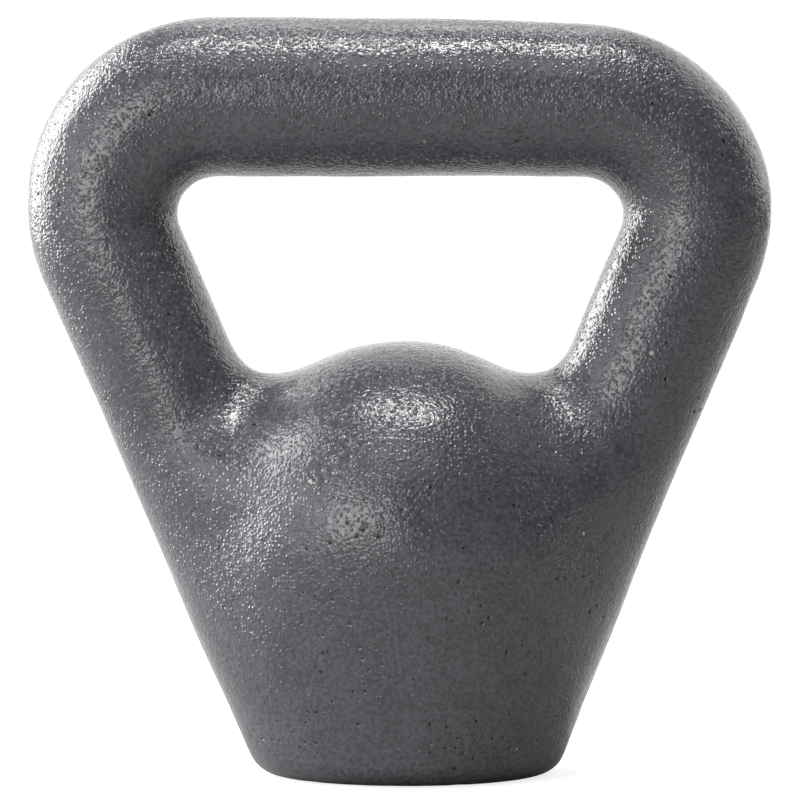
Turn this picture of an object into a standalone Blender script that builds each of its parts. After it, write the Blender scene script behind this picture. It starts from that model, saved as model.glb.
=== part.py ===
"""A small cast-iron kettlebell: one bent grip, two horns, a ball and a foot.

The casting is a single smooth surface. It is modelled whole, and then divided along flat
planes into the regions that lifters and foundries name: grip, corners, horns, bell and foot.

Metres, +Z up. X runs along the grip and Y runs from front to back.
The origin is the centre of the flat base.
"""

import math

import bmesh
import bpy
import numpy as np
from mathutils import Vector

# Overall sizes
HEIGHT = 0.1620
SHOULDER_WIDTH = 0.1582

# Handle
GRIP_DIAMETER = 0.0335
HORN_DIAMETER = 0.0310
BEND_RADIUS = 0.0242  # of the centre line, between the grip and a horn

# Bell
BALL_RADIUS = 0.0415
HEIGHT_UNDER_BALL_CENTRE = 0.0518
FOOT_DIAMETER = 0.0633  # where the sides would meet the base if its edge were sharp
FOOT_EDGE_WIDTH = 0.0042  # how far its rounding runs in from the edge
HORN_FILLET = 0.0108  # under the hand window, between a horn and the ball
VALLEY_FILLET = 0.0185  # lower down, where a horn runs on beside the ball

# Heights between which one fillet turns into the other, and back into the first
VALLEY_TOP = (0.0820, 0.0660)
VALLEY_BOTTOM = (0.0640, 0.0480)

# Heights between which the round bell with two ridges turns into a plain oval
RIDGE_FADE_TOP = 0.0640
RIDGE_FADE_BOTTOM = 0.0140

# Divisions
HORN_END_BELOW_BALL_TOP = 0.0065
FOOT_HEIGHT = 0.0145
GAP = 0.0003  # between neighbouring regions

# Finish
ENAMEL_COLOUR = (0.068, 0.076, 0.085, 1)
ENAMEL_ROUGHNESS = 0.42

# Fineness of the mesh
SUBDIVISIONS = 2
STEPS_ON_HALF_GRIP = 3
STEPS_ON_BEND = 4
STEPS_ON_HORN = 2
STEPS_ROUND_FOOT_EDGE = 4
RELAXING_ROUNDS = 12
SETTLING_STEPS = 6
SNAP = 0.0006  # a point this near a dividing plane is moved on to it


def touching_line(point, centre, radius):
    """Unit normal, as X and Z, of the line through a point that touches a circle's +X side."""
    to_point = Vector((point.x - centre.x, point.z - centre.z))
    turn = math.atan2(to_point.y, to_point.x) + math.acos(radius / to_point.length)
    return Vector((math.cos(turn), 0, math.sin(turn)))


# Worked out from the sizes above, on the +X side
GRIP_RADIUS = GRIP_DIAMETER / 2
HORN_RADIUS = HORN_DIAMETER / 2
GRIP_HEIGHT = HEIGHT - GRIP_RADIUS
BALL_CENTRE = Vector((0, 0, HEIGHT_UNDER_BALL_CENTRE))
FOOT_EDGE = Vector((FOOT_DIAMETER / 2, 0, 0))
BEND_CENTRE = Vector(
    (SHOULDER_WIDTH / 2 - BEND_RADIUS - HORN_RADIUS, 0, GRIP_HEIGHT - BEND_RADIUS)
)
OUT_OF_HORN = touching_line(FOOT_EDGE, BEND_CENTRE, BEND_RADIUS + HORN_RADIUS)
DOWN_HORN = Vector((OUT_OF_HORN.z, 0, -OUT_OF_HORN.x))
HORN_SLOPE = math.atan2(-OUT_OF_HORN.z, OUT_OF_HORN.x)  # from the vertical
OUT_OF_CONE = touching_line(FOOT_EDGE, BALL_CENTRE, BALL_RADIUS)
HORN_TOP = BEND_CENTRE + OUT_OF_HORN * BEND_RADIUS
HORN_FOOT_HEIGHT = BALL_CENTRE.z + BALL_RADIUS - HORN_END_BELOW_BALL_TOP
HORN_LENGTH = (HORN_TOP.z - HORN_FOOT_HEIGHT) / math.cos(HORN_SLOPE)
HORN_FOOT = HORN_TOP + DOWN_HORN * HORN_LENGTH


def smooth_step(start, end, value):
    share = np.clip((value - start) / (end - start), 0, 1)
    return share * share * (3 - 2 * share)


def join_with_fillet(first, second, radius):
    """Distance to the union of two solids, with a fillet of this radius between them."""
    rest = np.hypot(np.maximum(radius - first, 0), np.maximum(radius - second, 0))
    return np.maximum(np.minimum(first, second), radius) - rest


def distance_to_handle(x, y, z):
    """To the round bar along the grip, the bend and the horn, which runs on to the base."""
    x = np.abs(x)
    across = x - BEND_CENTRE.x
    up = z - BEND_CENTRE.z
    turned = math.pi / 2 - np.arctan2(up, across)
    full_turn = math.pi / 2 + HORN_SLOPE
    on_grip = (across < 0) & (up > 0)
    on_bend = ~on_grip & (turned >= 0) & (turned <= full_turn)
    to_grip = np.abs(z - GRIP_HEIGHT)
    to_bend = np.abs(np.hypot(across, up) - BEND_RADIUS)
    to_horn = np.abs((x - HORN_TOP.x) * OUT_OF_HORN.x + (z - HORN_TOP.z) * OUT_OF_HORN.z)
    to_axis = np.where(on_grip, to_grip, np.where(on_bend, to_bend, to_horn))
    slimmer = np.where(on_grip, 0, np.where(on_bend, smooth_step(0, full_turn, turned), 1))
    return np.hypot(to_axis, y) - GRIP_RADIUS - slimmer * (HORN_RADIUS - GRIP_RADIUS)


def distance_to_bell(x, y, z):
    """To the ball and the cone under it, both round about Z."""
    radius = np.hypot(x, y)
    up = z - BALL_CENTRE.z
    to_cone = (radius - FOOT_EDGE.x) * OUT_OF_CONE.x + z * OUT_OF_CONE.z
    to_ball = np.hypot(radius, up) - BALL_RADIUS
    beside_cone = up * OUT_OF_CONE.x - radius * OUT_OF_CONE.z < 0
    return np.where(beside_cone, to_cone, to_ball)


def distance_to_oval(x, y, z):
    """To the oval body whose width runs on from the horns and whose depth is the bell's."""
    half_width = FOOT_EDGE.x - z * OUT_OF_HORN.z / OUT_OF_HORN.x
    half_depth = FOOT_EDGE.x - z * OUT_OF_CONE.z / OUT_OF_CONE.x
    return (np.hypot(x / half_width, y / half_depth) - 1) * half_depth


def fillet_at(z):
    """Radius of the fillet between a horn and the ball at this height."""
    beside_ball = smooth_step(VALLEY_BOTTOM[1], VALLEY_BOTTOM[0], z)
    beside_ball *= 1 - smooth_step(VALLEY_TOP[1], VALLEY_TOP[0], z)
    return HORN_FILLET + (VALLEY_FILLET - HORN_FILLET) * beside_ball


def distance_to_casting(points):
    """Signed distance, near enough, to the casting, which runs on below the base here."""
    x, y, z = points.T
    ridged = join_with_fillet(distance_to_handle(x, y, z), distance_to_bell(x, y, z), fillet_at(z))
    ridges = smooth_step(RIDGE_FADE_BOTTOM, RIDGE_FADE_TOP, z)
    oval = distance_to_oval(x, y, np.minimum(z, RIDGE_FADE_TOP))
    return ridged * ridges + oval * (1 - ridges)


def settle(points, step=1e-6):
    """Move points straight on to the surface of the casting."""
    for _ in range(SETTLING_STEPS):
        distance = distance_to_casting(points)
        slopes = []
        for axis in np.eye(3) * step:
            rise = distance_to_casting(points + axis) - distance_to_casting(points - axis)
            slopes.append(rise / (2 * step))
        slope = np.stack(slopes, axis=1)
        steepness = np.maximum((slope**2).sum(axis=1), 0.05)
        points = points - slope * (distance / steepness)[:, None]
    return points


def handle_stations():
    """Centres along the handle from the left horn to the right one, each with its outward side."""
    right = []
    for step in range(STEPS_ON_HALF_GRIP):
        x = BEND_CENTRE.x * step / STEPS_ON_HALF_GRIP
        right.append((Vector((x, 0, GRIP_HEIGHT)), Vector((0, 0, 1))))
    for step in range(STEPS_ON_BEND):
        turn = math.pi / 2 - (math.pi / 2 + HORN_SLOPE) * step / STEPS_ON_BEND
        outward = Vector((math.cos(turn), 0, math.sin(turn)))
        right.append((BEND_CENTRE + outward * BEND_RADIUS, outward))
    for step in range(STEPS_ON_HORN):
        centre = HORN_TOP + DOWN_HORN * HORN_LENGTH * step / STEPS_ON_HORN
        right.append((centre, OUT_OF_HORN))
    flip = Vector((-1, 1, 1))
    left = [(centre * flip, outward * flip) for centre, outward in right[:0:-1]]
    return left + right


# Round an eight-sided ring: how far each corner lies outwards and how far it lies back
RING = ((1, -1), (0, -1), (-1, -1), (-1, 0), (-1, 1), (0, 1), (1, 1), (1, 0))


def ring_corners(centre, outward, radius):
    corners = []
    for out, back in RING:
        reach = radius / math.hypot(out, back)
        corners.append(centre + outward * out * reach + Vector((0, back * reach, 0)))
    return corners


def bell_levels():
    """For each level of the bell, from the top: its height, its columns' places and depths."""
    horn_reach = HORN_RADIUS * math.cos(HORN_SLOPE)
    equator = BALL_CENTRE.z
    heights = (HORN_FOOT.z, (HORN_FOOT.z + equator) / 2, equator, equator * 0.6, equator * 0.25)
    for height in (*heights, -FOOT_EDGE_WIDTH):
        horn = HORN_TOP.x - (HORN_TOP.z - height) * math.tan(HORN_SLOPE)
        inner = max(horn - horn_reach, horn / 2)
        round_reach = FOOT_EDGE.x
        if height > equator / 2:
            round_reach = math.sqrt(BALL_RADIUS**2 - (height - equator) ** 2)
        places = (horn + horn_reach, horn, inner, 0)
        depths = []
        for place, thick in zip(places, (0.7, 1, 0.7, 1)):
            round_depth = math.sqrt(max(round_reach**2 - place**2, 0))
            depths.append(max(round_depth, HORN_RADIUS * thick))
        yield height, places, depths


def casting_cage():
    """A coarse cage of four-sided faces, like the casting in shape and open below the base."""
    cage = bmesh.new()
    last = 6
    rim = [(i, 0) for i in range(last + 1)] + [(last, 1)]
    rim += [(i, 2) for i in range(last, -1, -1)] + [(0, 1)]
    grids = []
    for height, places, depths in bell_levels():
        grid = {}
        for i in range(last + 1):
            side = -1 if i < last / 2 else 1
            column = min(i, last - i)
            for j, back in enumerate((-1, 0, 1)):
                inside = (i, j) not in rim
                if inside and grids:
                    continue
                z = BALL_CENTRE.z + BALL_RADIUS if inside and column == 3 else height
                grid[i, j] = cage.verts.new((places[column] * side, depths[column] * back, z))
        grids.append(grid)
    for above, below in zip(grids, grids[1:]):
        for here, after in zip(rim, rim[1:] + rim[:1]):
            cage.faces.new((below[here], below[after], above[after], above[here]))
    for i in (2, 3):
        for j in (0, 1):
            square = [(i, j), (i + 1, j), (i + 1, j + 1), (i, j + 1)]
            cage.faces.new([grids[0][corner] for corner in square])
    mouth = [(0, 0), (1, 0), (2, 0), (2, 1), (2, 2), (1, 2), (0, 2), (0, 1)]
    rings = [[grids[0][corner] for corner in mouth]]
    for centre, outward in handle_stations():
        corners = ring_corners(centre, outward, GRIP_RADIUS * 1.2)
        rings.append([cage.verts.new(corner) for corner in corners])
    rings.append([grids[0][last - i, j] for i, j in mouth])
    for before, after in zip(rings, rings[1:]):
        for k in range(len(RING)):
            n = (k + 1) % len(RING)
            cage.faces.new((before[k], before[n], after[n], after[k]))
    bmesh.ops.recalc_face_normals(cage, faces=cage.faces)
    return cage


def casting_mesh():
    """The whole casting as one closed mesh: the cage subdivided and settled on the surface."""
    cage = casting_cage()
    mesh = bpy.data.meshes.new("casting")
    cage.to_mesh(mesh)
    cage.free()
    holder = bpy.data.objects.new("casting", mesh)
    bpy.context.collection.objects.link(holder)
    rounded = holder.modifiers.new("Rounded", "SUBSURF")
    rounded.levels = SUBDIVISIONS
    rounded.render_levels = SUBDIVISIONS
    graph = bpy.context.evaluated_depsgraph_get()
    whole = bpy.data.meshes.new_from_object(holder.evaluated_get(graph))
    bpy.data.objects.remove(holder)
    bpy.data.meshes.remove(mesh)
    shape = bmesh.new()
    shape.from_mesh(whole)
    inner = [vertex for vertex in shape.verts if not vertex.is_boundary]
    for _ in range(RELAXING_ROUNDS):
        bmesh.ops.smooth_vert(
            shape, verts=inner, factor=0.5, use_axis_x=True, use_axis_y=True, use_axis_z=True
        )
        points = settle(np.array([vertex.co for vertex in shape.verts], dtype=float))
        for vertex, point in zip(shape.verts, points):
            vertex.co = point
    cut(shape, Vector(), Vector((0, 0, -1)))
    round_foot_edge(shape)
    shape.to_mesh(whole)
    shape.free()
    return whole


def cut(shape, point, outward):
    """Take away what lies outside a plane, and close the shape with flat faces there."""
    bmesh.ops.bisect_plane(
        shape,
        geom=shape.verts[:] + shape.edges[:] + shape.faces[:],
        dist=SNAP,
        plane_co=point,
        plane_no=outward,
        use_snap_center=True,
        clear_outer=True,
    )
    bmesh.ops.holes_fill(shape, edges=[edge for edge in shape.edges if edge.is_boundary])


def round_foot_edge(shape):
    on_base = {vertex for vertex in shape.verts if abs(vertex.co.z) < 1e-6}
    bmesh.ops.bevel(
        shape,
        geom=[edge for edge in shape.edges if set(edge.verts) <= on_base],
        offset=FOOT_EDGE_WIDTH,
        segments=STEPS_ROUND_FOOT_EDGE,
        profile=0.5,
        affect="EDGES",
    )


def keep_island(shape, seed):
    """Delete all but the connected part whose nearest vertex lies nearest to the seed."""
    start = min(shape.verts, key=lambda vertex: (vertex.co - seed).length)
    island = {start}
    waiting = [start]
    while waiting:
        vertex = waiting.pop()
        for edge in vertex.link_edges:
            neighbour = edge.other_vert(vertex)
            if neighbour not in island:
                island.add(neighbour)
                waiting.append(neighbour)
    others = [vertex for vertex in shape.verts if vertex not in island]
    bmesh.ops.delete(shape, geom=others, context="VERTS")


def region(name, whole, planes, seed):
    """One closed region of the casting, on the near side of each (point, outward) plane."""
    shape = bmesh.new()
    shape.from_mesh(whole)
    for point, outward in planes:
        cut(shape, point - outward * GAP / 2, outward)
    keep_island(shape, seed)
    bmesh.ops.recalc_face_normals(shape, faces=shape.faces)
    mesh = bpy.data.meshes.new(name)
    shape.to_mesh(mesh)
    shape.free()
    mesh.materials.append(enamel(name))
    mesh.shade_smooth()
    mesh.set_sharp_from_angle(angle=math.radians(40))
    bpy.context.collection.objects.link(bpy.data.objects.new(name, mesh))


def enamel(name):
    """Semi-gloss slate-grey enamel over the iron."""
    material = bpy.data.materials.new(f"{name} enamel")
    material.use_nodes = True
    surface = material.node_tree.nodes["Principled BSDF"]
    surface.inputs["Base Color"].default_value = ENAMEL_COLOUR
    surface.inputs["Roughness"].default_value = ENAMEL_ROUGHNESS
    surface.inputs["Metallic"].default_value = 0
    return material


def main():
    for leftover in list(bpy.data.objects):
        bpy.data.objects.remove(leftover)
    whole = casting_mesh()
    right = Vector((1, 0, 0))
    up = Vector((0, 0, 1))
    foot_top = up * FOOT_HEIGHT
    bell_planes = [(foot_top, -up)]
    for side, sign in (("left", -1), ("right", 1)):
        flip = Vector((sign, 1, 1))
        outward = right * sign
        down_horn = DOWN_HORN * flip
        bend_centre = BEND_CENTRE * flip
        horn_foot = HORN_FOOT * flip
        corner_seed = bend_centre + (outward + up) * BEND_RADIUS
        region(f"{side}_corner", whole, [(bend_centre, -outward), (bend_centre, down_horn)], corner_seed)
        horn_seed = (HORN_TOP * flip + horn_foot) / 2
        region(f"{side}_horn", whole, [(bend_centre, -down_horn), (horn_foot, down_horn)], horn_seed)
        bell_planes.append((horn_foot, -down_horn))
    grip_planes = [(BEND_CENTRE, right), (BEND_CENTRE * Vector((-1, 1, 1)), -right)]
    region("grip_bar", whole, grip_planes, up * HEIGHT)
    region("bell", whole, bell_planes, BALL_CENTRE)
    region("foot", whole, [(foot_top, up)], Vector())
    bpy.data.meshes.remove(whole)


main()
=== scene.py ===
# %% [markdown]
# # A small cast-iron kettlebell
#
# A kettlebell like this is poured in one go: iron runs into a sand mould and fills the grip,
# the horns, the ball and the foot together. The sand leaves a pebbled skin, and a thick
# slate-grey enamel is baked over it. So the two things to get right are one unbroken surface
# and a finish that glitters from thousands of tiny bumps.
#
# The design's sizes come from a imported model. It is loaded first, as a frame that nothing here
# moves. It holds the casting as seven solids, one for each region, with thin gaps between them.

# %% Load the frame
import math
import random

import bpy
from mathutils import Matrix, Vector, noise
from mathutils.bvhtree import BVHTree


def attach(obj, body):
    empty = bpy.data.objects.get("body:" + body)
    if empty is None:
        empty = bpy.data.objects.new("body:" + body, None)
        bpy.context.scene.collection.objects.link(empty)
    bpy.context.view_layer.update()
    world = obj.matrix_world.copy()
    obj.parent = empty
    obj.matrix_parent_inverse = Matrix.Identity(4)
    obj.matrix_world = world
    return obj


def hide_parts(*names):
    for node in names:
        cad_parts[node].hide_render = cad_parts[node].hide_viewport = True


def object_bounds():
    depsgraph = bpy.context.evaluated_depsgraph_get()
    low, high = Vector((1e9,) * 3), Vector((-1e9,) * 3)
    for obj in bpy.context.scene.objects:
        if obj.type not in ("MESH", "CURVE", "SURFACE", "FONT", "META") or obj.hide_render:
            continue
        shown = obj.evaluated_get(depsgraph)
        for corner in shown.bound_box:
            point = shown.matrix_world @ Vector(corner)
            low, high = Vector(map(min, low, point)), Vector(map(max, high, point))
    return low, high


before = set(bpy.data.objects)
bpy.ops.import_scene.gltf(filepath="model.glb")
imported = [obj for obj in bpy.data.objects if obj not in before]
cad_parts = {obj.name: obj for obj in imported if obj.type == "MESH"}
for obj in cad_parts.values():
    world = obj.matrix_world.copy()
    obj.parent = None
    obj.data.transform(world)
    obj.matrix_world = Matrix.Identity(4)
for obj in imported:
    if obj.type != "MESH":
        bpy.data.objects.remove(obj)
CAD_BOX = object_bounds()
LOW, HIGH = CAD_BOX
MIDDLE = (LOW + HIGH) / 2
SIZE = HIGH - LOW
REGIONS = sorted(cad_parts)
MM = 0.001
print("casting", [round(side / MM, 1) for side in SIZE], "mm in", len(REGIONS), "regions")


def select_only(*things):
    bpy.ops.object.select_all(action="DESELECT")
    for thing in things:
        thing.select_set(True)
    bpy.context.view_layer.objects.active = things[0]


def apply_modifier(thing, kind, **settings):
    """Add a modifier with these settings and bake it into the mesh."""
    select_only(thing)
    modifier = thing.modifiers.new(kind.title(), kind)
    for name, value in settings.items():
        setattr(modifier, name, value)
    bpy.ops.object.modifier_apply(modifier=modifier.name)


# %% [markdown]
# ## One unbroken skin
#
# The skin could be modelled from scratch, but it has to follow the design exactly, and the
# seven solids already do. So each is copied, its loose triangles are welded, and the flat ends
# where two regions face each other are taken off. What is left is a set of open sleeves. Their
# rims lie in pairs a hair apart, and merging each pair sews the sleeves into one closed skin.
#
# Every copy carries its own placeholder material. Faces keep it through all that follows, so
# the finished skin can be divided again along the very same lines.

# %% Copy the regions and join them
WELD_REACH = 0.001 * MM
copies = []
for name in REGIONS:
    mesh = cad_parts[name].data.copy()
    mesh.materials.clear()
    mesh.materials.append(bpy.data.materials.new(f"{name} region"))
    copy = bpy.data.objects.new(f"{name}_copy", mesh)
    bpy.context.collection.objects.link(copy)
    copies.append(copy)
select_only(*copies)
bpy.ops.object.join()
skin = bpy.context.object
skin.name = "kettlebell_skin"
bpy.ops.object.mode_set(mode="EDIT")
bpy.ops.mesh.select_all(action="SELECT")
bpy.ops.mesh.remove_doubles(threshold=WELD_REACH)
bpy.ops.mesh.select_all(action="DESELECT")
bpy.ops.object.mode_set(mode="OBJECT")
print("joined:", len(skin.data.polygons), "triangles")

# %% [markdown]
# The flat ends are easy to tell from the outside: straight in front of them, a third of a
# millimetre away, is another face of the casting. A ray from the middle of each face finds it.
# Where one end is a little larger than the one it faces, slivers along its rim miss, so the
# selection is then grown over all that lies in the same plane.

# %% Take off the flat ends and sew the rims
GAP = 0.3 * MM  # between the design's regions
RAY_REACH = GAP * 1.2
SEW_REACH = GAP * 2.2
SAME_PLANE = math.radians(1)
faces = BVHTree.FromPolygons(
    [vertex.co for vertex in skin.data.vertices], [face.vertices for face in skin.data.polygons]
)
for face in skin.data.polygons:
    start = face.center + face.normal * GAP / 10
    face.select = faces.ray_cast(start, face.normal, RAY_REACH)[0] is not None
bpy.ops.object.mode_set(mode="EDIT")
bpy.ops.mesh.select_mode(type="FACE")
bpy.ops.mesh.faces_select_linked_flat(sharpness=SAME_PLANE)
bpy.ops.mesh.delete(type="FACE")
bpy.ops.mesh.select_mode(type="VERT")
bpy.ops.mesh.select_non_manifold()
bpy.ops.mesh.remove_doubles(threshold=SEW_REACH)
bpy.ops.mesh.select_all(action="DESELECT")
bpy.ops.mesh.select_non_manifold()
bpy.ops.object.mode_set(mode="OBJECT")
print("open points left:", sum(vertex.select for vertex in skin.data.vertices))

# %% [markdown]
# ## From facets to a smooth casting
#
# Pairs of triangles are turned back into four-sided faces, because a Subdivision Surface makes
# even, rounded skin from those. Two levels now give faces about a millimetre wide, on which the
# pinholes are modelled. A third level after them makes each hole round.

# %% Subdivide the skin
PAIRING_ANGLE = math.radians(60)
bpy.ops.object.mode_set(mode="EDIT")
bpy.ops.mesh.select_all(action="SELECT")
bpy.ops.mesh.tris_convert_to_quads(
    face_threshold=PAIRING_ANGLE, shape_threshold=PAIRING_ANGLE, materials=True
)
bpy.ops.mesh.select_all(action="DESELECT")
bpy.ops.object.mode_set(mode="OBJECT")
quads = sum(len(face.vertices) == 4 for face in skin.data.polygons)
print("four-sided:", quads, "of", len(skin.data.polygons))
apply_modifier(skin, "SUBSURF", levels=2, render_levels=2)
print("subdivided:", len(skin.data.polygons), "faces")

# %% [markdown]
# ## Pinholes
#
# Gas bubbles out of the sand while the iron sets. It leaves pinholes, half a millimetre to a
# millimetre wide, that the enamel doesn't fill. They gather in clusters, mostly low on the ball.
# Dark dots in the material would look painted on, so the larger holes are real: a corner of the
# mesh is bevelled into a small face, and that face is pushed in. The corners are drawn at
# random, and a noise field decides where a draw counts, which is what makes the clusters.

# %% Draw the places of the pinholes
PINHOLE_RADII = {"small": 0.26 * MM, "middling": 0.36 * MM, "wide": 0.46 * MM}
PINHOLE_SPACING = 1.8 * MM
CLUSTER_SIZE = 15 * MM
CLUSTER_FIELD = Vector((144, 0, 0))  # shifts the noise, so that a cluster falls on the front
CLUSTER_THRESHOLD = 0.83
PINHOLES_PER_CORNER = 0.13
STRAY_PINHOLES_PER_CORNER = 0.0006
SIZES_TO_DRAW = ("small", "middling", "middling", "wide", "wide")
BASE_ZONE = 6 * MM  # kept free of holes and of unevenness
chance = random.Random(5)
for size in PINHOLE_RADII:
    skin.vertex_groups.new(name=size)
places = []
for vertex in skin.data.vertices:
    lowness = 1 - vertex.co.z / SIZE.z
    cluster = noise.noise(vertex.co / CLUSTER_SIZE + CLUSTER_FIELD) + lowness - CLUSTER_THRESHOLD
    share = max(PINHOLES_PER_CORNER * cluster, STRAY_PINHOLES_PER_CORNER)
    if vertex.co.z < BASE_ZONE or chance.random() > share:
        continue
    if all((vertex.co - place).length > PINHOLE_SPACING for place in places):
        places.append(vertex.co.copy())
        size = chance.choice(SIZES_TO_DRAW)
        skin.vertex_groups[size].add([vertex.index], 1, "REPLACE")
print("pinholes:", len(places))

# %% [markdown]
# A vertex bevel on its own turns a corner into a small face, and an inset with a depth both
# narrows that face and sinks it. The sunken faces are remembered in a vertex group.

# %% Bevel the corners and push the small faces in
PINHOLE_DEPTH = 0.45 * MM
NARROWING = 1 / 8  # of the radius, from rim to floor
FLOORS = "pinhole floors"
skin.vertex_groups.new(name=FLOORS)
for size, radius in PINHOLE_RADII.items():
    bpy.ops.object.vertex_group_set_active(group=size)
    bpy.ops.object.mode_set(mode="EDIT")
    bpy.ops.mesh.select_mode(type="VERT")
    bpy.ops.mesh.select_all(action="DESELECT")
    bpy.ops.object.vertex_group_select()
    bpy.ops.mesh.bevel(offset=radius, segments=1, affect="VERTICES")
    bpy.ops.mesh.select_mode(type="FACE")
    bpy.ops.mesh.inset(thickness=radius * NARROWING, depth=-PINHOLE_DEPTH, use_individual=True)
    bpy.ops.object.vertex_group_set_active(group=FLOORS)
    bpy.ops.object.vertex_group_assign()
    bpy.ops.object.mode_set(mode="OBJECT")
    print(size, "pinholes:", sum(face.select for face in skin.data.polygons))

# %% [markdown]
# The last level of subdivision turns each angular hole into a round one. The vertex group is
# then written down as an attribute of the mesh, which the enamel reads later to paint shade,
# a painted shadow, on the floors of the holes.

# %% Round everything with a last level
apply_modifier(skin, "SUBSURF", levels=1, render_levels=1)
# this mark later places painted shade on the pinhole floors
pinhole_shade_mark = skin.data.attributes.new("pinhole", "FLOAT", "POINT")
floors = skin.vertex_groups[FLOORS].index
for vertex, mark in zip(skin.data.vertices, pinhole_shade_mark.data):
    mark.value = sum(part.weight for part in vertex.groups if part.group == floors)
print("subdivided:", len(skin.data.polygons), "faces")

# %% [markdown]
# ## The unevenness of a sand casting
#
# A sand mould is never true, and iron shrinks as it cools. So the surface of a casting wanders
# by tenths of a millimetre, and its skin keeps the print of the sand as soft pebbles. Sculpting
# them by hand would take days. A Displace modifier moves every point along its normal by the
# value of a noise texture instead. Three sizes of noise stand in for the drift of the mould, the
# rammed sand, and the thick enamel that ran over it.
#
# The base stays flat, because the bell rests on it. A vertex group fades the modifiers out there.

# %% Displace the skin above its base
FADE_START = 0.8 * MM
ABOVE_BASE = "above base"
above_base = skin.vertex_groups.new(name=ABOVE_BASE)
for vertex in skin.data.vertices:
    share = (vertex.co.z - LOW.z - FADE_START) / (BASE_ZONE - FADE_START)
    above_base.add([vertex.index], min(max(share, 0), 1), "REPLACE")
UNEVENNESS = (
    ("mould drift", 26 * MM, 0.50 * MM, 1),
    ("rammed sand", 6.0 * MM, 0.10 * MM, 1),
    ("pebbles", 1.8 * MM, 0.09 * MM, 1),
)
for name, size, height, depth in UNEVENNESS:
    bumps = bpy.data.textures.new(name, "CLOUDS")
    bumps.noise_scale = size
    bumps.noise_depth = depth
    apply_modifier(
        skin, "DISPLACE", texture=bumps, texture_coords="LOCAL", strength=height,
        mid_level=0.5, vertex_group=ABOVE_BASE,
    )
    print(name, round(size / MM, 1), "mm across,", round(height / MM, 2), "mm high")
skin.vertex_groups.clear()
skin.data.shade_smooth()

# %% [markdown]
# ## A casting that isn't quite true
#
# The two halves of the mould never meet exactly, and a hot casting settles as it shrinks. This
# one leans a little, and its right shoulder droops by two millimetres. A Lattice is the tool
# for such a change: it is a coarse grid of handles round the object, and moving a few handles
# bends everything between them smoothly. The base keeps its height, so it stays flat.

# %% Bend the skin with a lattice
LEAN = (  # millimetres to the right, from left to right along the handle, base level first
    (0.9, 0.9, 1.2, 1.6),
    (0.0, 0.0, 0.0, 0.2),
    (-0.5, 0.3, -0.6, 0.4),
    (-1.1, 0.4, -1.3, -0.3),
    (-2.0, -0.8, -0.8, 0.4),
)
RISE = (  # millimetres upwards
    (0.0, 0.0, 0.0, 0.0),
    (0.0, 0.0, 0.0, 0.0),
    (0.0, 0.0, 0.0, -0.3),
    (-0.9, -1.0, -0.9, -1.2),
    (-0.1, -0.2, -1.1, -2.6),
)
LATTICE_MARGIN = 1.01
select_only(skin)
bpy.ops.object.add(type="LATTICE", location=MIDDLE)
grid = bpy.context.object
grid.name = "mould drift grid"
grid.scale = SIZE * LATTICE_MARGIN
grid.data.points_u = len(LEAN[0])
grid.data.points_v = 2
grid.data.points_w = len(LEAN)
for direction in "uvw":
    setattr(grid.data, f"interpolation_type_{direction}", "KEY_CARDINAL")
handles = iter(grid.data.points)
for level in range(len(LEAN)):
    for side in range(2):
        for column in range(len(LEAN[0])):
            move = Vector((LEAN[level][column] / SIZE.x, 0, RISE[level][column] / SIZE.z)) * MM
            handle = next(handles)
            handle.co_deform = handle.co_deform + move
bpy.context.view_layer.update()
apply_modifier(skin, "LATTICE", object=grid)
bpy.data.objects.remove(grid)
for axis in range(3):
    reach = max(vertex.co[axis] for vertex in skin.data.vertices)
    print("skin now reaches", round(reach / MM, 1), "mm along", "XYZ"[axis])

# %% [markdown]
# ## Dividing the skin into its regions
#
# The design has seven solids, and each needs a piece that stands for it. The skin is separated
# by its placeholder materials, and the open ends are closed again, so that every piece is a
# solid of its own. Cutting would normally leave a faint line in the shading, since a smooth
# normal is the mean of the faces round a point and half of them are now in another object. So
# the whole skin's normals are written down first and given back to the pieces afterwards.

# %% Write down the normals and separate the skin
whole_normal = skin.data.attributes.new("whole normal", "FLOAT_VECTOR", "POINT")
for vertex, kept in zip(skin.data.vertices, whole_normal.data):
    kept.vector = vertex.normal
select_only(skin)
bpy.ops.object.mode_set(mode="EDIT")
bpy.ops.mesh.select_all(action="SELECT")
bpy.ops.mesh.separate(type="MATERIAL")
bpy.ops.object.mode_set(mode="OBJECT")
pieces = {}
for piece in list(bpy.context.selected_objects):
    region = piece.material_slots[piece.data.polygons[0].material_index].name
    pieces[region.removesuffix(" region")] = piece
print("separated:", sorted(pieces))

# %% [markdown]
# Each open end gets one flat face. Its corners keep the flat face's own normal, and all the
# other faces take back the normals that the whole skin had.

# %% Close the ends and give the normals back
for name, piece in pieces.items():
    piece.name = f"{name}_skin"
    piece.data.name = piece.name
    outside = len(piece.data.polygons)
    select_only(piece)
    bpy.ops.object.mode_set(mode="EDIT")
    bpy.ops.mesh.select_mode(type="VERT")
    bpy.ops.mesh.select_all(action="DESELECT")
    bpy.ops.mesh.select_non_manifold()
    bpy.ops.mesh.fill_holes(sides=0)
    bpy.ops.mesh.select_all(action="DESELECT")
    bpy.ops.object.mode_set(mode="OBJECT")
    piece.data.shade_smooth()
    kept = piece.data.attributes["whole normal"].data
    normals = []
    for face in piece.data.polygons:
        if face.index < outside:
            normals.extend(kept[corner].vector for corner in face.vertices)
        else:
            normals.extend([face.normal.copy()] * len(face.vertices))
    piece.data.normals_split_custom_set(normals)
    piece.data.attributes.remove(piece.data.attributes["whole normal"])
    triangles = sum(len(face.vertices) - 2 for face in piece.data.polygons)
    print(piece.name, triangles, "triangles, ends closed:", len(piece.data.polygons) - outside)

# %% [markdown]
# ## The camera
#
# A small product is usually shown from about a metre away with a long lens, so that it hardly
# shows perspective. The camera looks at the front from about a degree above it, so that the round
# edge of the base shows as a shallow curve.

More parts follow.
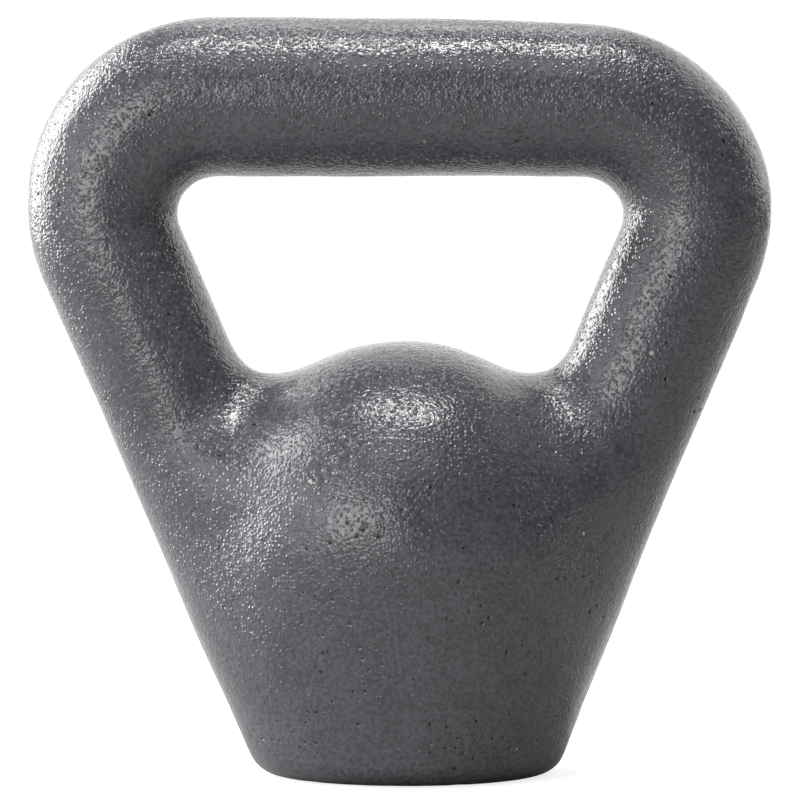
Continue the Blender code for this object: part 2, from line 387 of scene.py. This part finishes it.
# %% Camera
camera = bpy.data.objects.new("camera", bpy.data.cameras.new("camera"))
bpy.context.collection.objects.link(camera)
CAMERA_DISTANCE = 1.0
LOOKED_AT = Vector((-0.55 * MM, 0, MIDDLE.z - 1.1 * MM))
LOOKING_DOWN = math.radians(1.15)
VIEW_WIDTH = 171 * MM
camera.data.sensor_width = 36
camera.data.lens = camera.data.sensor_width * CAMERA_DISTANCE / VIEW_WIDTH
camera.location = LOOKED_AT + Vector((0, -1, math.tan(LOOKING_DOWN))) * CAMERA_DISTANCE
camera.rotation_euler = (math.radians(90) - LOOKING_DOWN, 0, 0)
bpy.context.scene.camera = camera
print("lens:", round(camera.data.lens), "mm")

# %% [markdown]
# ## One material for the whole casting
#
# Every region is the same enamel over the same iron, so there is one material, and it reads
# its patterns from the object's own space. They run across the regions' ends without a break.

# %% Enamel
enamel = bpy.data.materials.new("slate enamel")
enamel.use_nodes = True
tree = enamel.node_tree
surface = tree.nodes["Principled BSDF"]


def add(kind, inputs=(), **settings):
    """Add a node to the tree at hand, set its options, and set or connect its inputs."""
    node = tree.nodes.new(kind)
    for name, value in settings.items():
        setattr(node, name, value)
    for socket, value in dict(inputs).items():
        if isinstance(value, bpy.types.NodeSocket):
            tree.links.new(value, node.inputs[socket])
        else:
            node.inputs[socket].default_value = value
    return node


def maths(operation, *values):
    """One step of arithmetic, on numbers or on what other nodes put out."""
    return add("ShaderNodeMath", dict(enumerate(values)), operation=operation).outputs[0]


def spread(value, low, high, start=0, end=1, ease="SMOOTHSTEP"):
    """Start where the value is low, end where it is high, and on the way in between."""
    inputs = {0: value, 1: low, 2: high, 3: start, 4: end}
    return add("ShaderNodeMapRange", inputs, interpolation_type=ease).outputs[0]


def clouds(per_metre, detail, roughness=0.5):
    """A soft noise with about so many humps to the metre."""
    inputs = {"Vector": place, "Scale": per_metre, "Detail": detail, "Roughness": roughness}
    return add("ShaderNodeTexNoise", inputs).outputs["Fac"]


def cells(per_metre):
    """Random cells: how far each point is from the middle of its cell, and the cell's draw."""
    node = add("ShaderNodeTexVoronoi", {"Vector": place, "Scale": per_metre})
    draw = add("ShaderNodeSeparateColor", {0: node.outputs["Color"]}).outputs[0]
    return node.outputs["Distance"], draw


place = add("ShaderNodeTexCoord").outputs["Object"]
height_above_base = add("ShaderNodeSeparateXYZ", {0: place}).outputs["Z"]
print("material:", enamel.name)

# %% [markdown]
# ## The roughcast
#
# The enamel is baked on thick over a sand-cast skin, so it has two natures at once. Its gloss
# is high, but it lies over some two hundred tiny pebbles per square centimetre, and each of
# those throws back its own spark of the lights. A rough shader would blur the sparks into a
# dull sheen. So the roughness is kept low, and the pebbles are a bump texture.
#
# Each pebble is a small dome in the middle of a cell of a Voronoi texture, and the cell's own
# random colour sets how tall it is. They sit on a noise of soft hills. They stand tallest on
# the handle and are flatter on the lower sides of the bell, and patches of them are worn
# smoother than others. Fine grit keeps the sparks from being perfect circles.

# %% Bumps
RELIEF_HEIGHT = 0.25 * MM
FLATTEST_AT, TALLEST_AT = 10 * MM, 95 * MM  # heights above the base
DOME_SHARE = 0.85
GRIT_SHARE = 0.05
lower_down = spread(height_above_base, FLATTEST_AT, TALLEST_AT, 0.6, 1.0)
patches = spread(clouds(60, detail=2), 0.3, 0.7, 0.65, 1.2, ease="LINEAR")
from_middle, tallness = cells(1350)
domes = maths("MULTIPLY", spread(from_middle, 0.65, 0.0), tallness)
hills = clouds(800, detail=2, roughness=0.6)
pebbles = maths("MULTIPLY_ADD", domes, DOME_SHARE, hills)
scaled = maths("MULTIPLY", pebbles, maths("MULTIPLY", lower_down, patches))
relief = maths("MULTIPLY_ADD", clouds(3800, detail=1), GRIT_SHARE, scaled)
bump = add("ShaderNodeBump", {"Height": relief, "Distance": RELIEF_HEIGHT, "Strength": 1})
tree.links.new(bump.outputs[0], surface.inputs["Normal"])
print("nodes for the bumps:", len(tree.nodes))

# %% [markdown]
# ## The colour
#
# The colour is one slate grey, but never quite even. The enamel pools a little and its skin is
# grainy, so a slow noise and a fine one make it lighter and darker. Here and there a pit too
# small to model gets painted shade: a near-black spot stands in for the shadow in its hollow.
# A pale fleck shows where a grain of sand came through. The floors of the modelled pinholes
# get the same painted shade, a painted shadow on top of their real depth, and the mark written
# on the mesh says where they are.

# %% Colour
DARKEST = (0.042, 0.043, 0.048, 1)
LIGHTEST = (0.071, 0.072, 0.080, 1)
# near-black painted shade for pits and pinhole floors, standing in for the shadow inside them
PAINTED_PIT_SHADE = (0.012, 0.011, 0.010, 1)
FLECK_GREY = (0.30, 0.29, 0.27, 1)
POOLING_SHARE = 0.4
ENAMEL_ROUGHNESS = 0.16
ENAMEL_IOR = 1.5


def blend(share, first, second):
    """Mix two colours: the first where the share is 0 and the second where it is 1."""
    node = add("ShaderNodeMix", {0: share, 6: first, 7: second}, data_type="RGBA")
    return node.outputs[2]


mottle = maths("MULTIPLY_ADD", clouds(140, detail=4), POOLING_SHARE, clouds(1100, detail=2))
# painted shade: dark spots for the shadow in pits too small to model
painted_pit_shade = spread(clouds(620, detail=1), 0.735, 0.775)
from_fleck, fleck_draw = cells(210)
flecks = maths("MULTIPLY", spread(from_fleck, 0.11, 0.07), spread(fleck_draw, 0.965, 0.970))
# painted shade on the floors of the modelled pinholes, read from the mark on the mesh
pinholes = add("ShaderNodeAttribute", attribute_name="pinhole").outputs["Fac"]
colour = blend(spread(mottle, 0.5, 0.9), DARKEST, LIGHTEST)
for share, grey in ((painted_pit_shade, PAINTED_PIT_SHADE), (flecks, FLECK_GREY), (pinholes, PAINTED_PIT_SHADE)):
    colour = blend(share, colour, grey)
tree.links.new(colour, surface.inputs["Base Color"])
surface.inputs["Roughness"].default_value = ENAMEL_ROUGHNESS
surface.inputs["IOR"].default_value = ENAMEL_IOR
print("nodes in all:", len(tree.nodes))

# %% [markdown]
# ## Tying the pieces to the design
#
# Each piece rides with the root, takes the place of the solid of its region, and carries the
# enamel's slot. Nothing on a kettlebell moves, so there is only the one frame to ride.

# %% Put the enamel on
for name, piece in pieces.items():
    piece.data.materials.clear()
    piece.data.materials.append(enamel)
    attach(piece, "root")
    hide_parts(name)
    print(piece.name, "stands for", name)

# %% [markdown]
# ## The table and the studio
#
# A glossy dark thing is lit by what it reflects, so the studio is built from large soft panels,
# and their places decide where its sheen lies. The table is white and glows by itself,
# most of all behind, so it stays pale, takes hardly a shadow, and lights the underside.

# %% White table
TABLE_SIZE = 6
UNDER_BASE = 0.05 * MM
TABLE_GREY = (0.35, 0.35, 0.35, 1)
GLOW_TO_THE_EYE = 0.8
GLOW_BEHIND = 0.35
bpy.ops.mesh.primitive_plane_add(size=TABLE_SIZE, location=(0, 0, LOW.z - UNDER_BASE))
table = bpy.context.object
table.name = "table"
white = bpy.data.materials.new("white table")
white.use_nodes = True
tree = white.node_tree
shader = tree.nodes["Principled BSDF"]
shader.inputs["Base Color"].default_value = TABLE_GREY
shader.inputs["Roughness"].default_value = 1
shader.inputs["Specular IOR Level"].default_value = 0
shader.inputs["Emission Color"].default_value = (1, 1, 1, 1)
spot = add("ShaderNodeTexCoord").outputs["Object"]
behind = add("ShaderNodeSeparateXYZ", {0: spot}).outputs["Y"]
seen = add("ShaderNodeLightPath").outputs["Is Camera Ray"]
glow = maths("MULTIPLY_ADD", seen, GLOW_TO_THE_EYE, spread(behind, 0, 0.25, 0, GLOW_BEHIND))
tree.links.new(glow, shader.inputs["Emission Strength"])
table.data.materials.append(white)
print("table:", TABLE_SIZE, "m square")

# %% [markdown]
# The panels stand 1.3 m off and are hidden from the camera. A long narrow one overhead makes
# the hot sparks along the grip and the top of the ball. Those on the left are wide and soft
# and give the left flank its sheen. The backdrop reaches the edges and the grip's underside.

# %% Soft panels
LAMP_DISTANCE = 1.3
AIM = Vector((0, 0, MIDDLE.z))


def soft_panel(name, azimuth, elevation, width, height, brightness):
    """A lit panel that faces the casting. Azimuth 0 is the camera's side and 90 the right."""
    turn = math.radians(azimuth)
    rise = math.radians(elevation)
    level = Vector((math.sin(turn), -math.cos(turn), 0))
    way = level * math.cos(rise) + Vector((0, 0, math.sin(rise)))
    lamp = bpy.data.lights.new(name, "AREA")
    lamp.shape = "RECTANGLE"
    lamp.size = width
    lamp.size_y = height
    lamp.energy = math.pi * width * height * brightness
    panel = bpy.data.objects.new(name, lamp)
    panel.location = AIM + way * LAMP_DISTANCE
    panel.rotation_euler = way.to_track_quat("Z", "Y").to_euler()
    panel.visible_camera = False
    bpy.context.collection.objects.link(panel)
    print(name, "panel:", round(lamp.energy, 1), "W")


soft_panel("overhead key", 0, 80, 0.85, 0.16, 38)
soft_panel("front left", -54, 14, 1.20, 0.80, 2.0)
soft_panel("front left core", -24, 5, 0.72, 0.72, 6.0)
soft_panel("left", -112, 18, 1.10, 1.60, 11.5)
soft_panel("back right", 122, 30, 0.95, 1.20, 2.0)
soft_panel("back top", 180, 60, 0.60, 0.40, 4.2)
soft_panel("backdrop", 180, 14, 1.60, 1.20, 1.5)
soft_panel("front top", 0, 50, 0.80, 0.40, 2.5)

# %% [markdown]
# The room is white to the camera, dark in front of the casting, and dimly lit behind it.

# %% Surroundings
DIM_IN_FRONT = 0.02
DIM_BEHIND = 0.3
studio = bpy.data.worlds.new("studio")
bpy.context.scene.world = studio
studio.use_nodes = True
tree = studio.node_tree
direction = add("ShaderNodeTexCoord").outputs["Generated"]
behind = add("ShaderNodeSeparateXYZ", {0: direction}).outputs["Y"]
seen = add("ShaderNodeLightPath").outputs["Is Camera Ray"]
glow = maths("ADD", seen, spread(behind, 0.28, 0.45, DIM_IN_FRONT, DIM_BEHIND))
background = tree.nodes["Background"]
background.inputs["Color"].default_value = (1, 1, 1, 1)
tree.links.new(glow, background.inputs["Strength"])
bpy.context.scene.view_settings.view_transform = "Standard"
print("lamps:", len(bpy.data.lights))
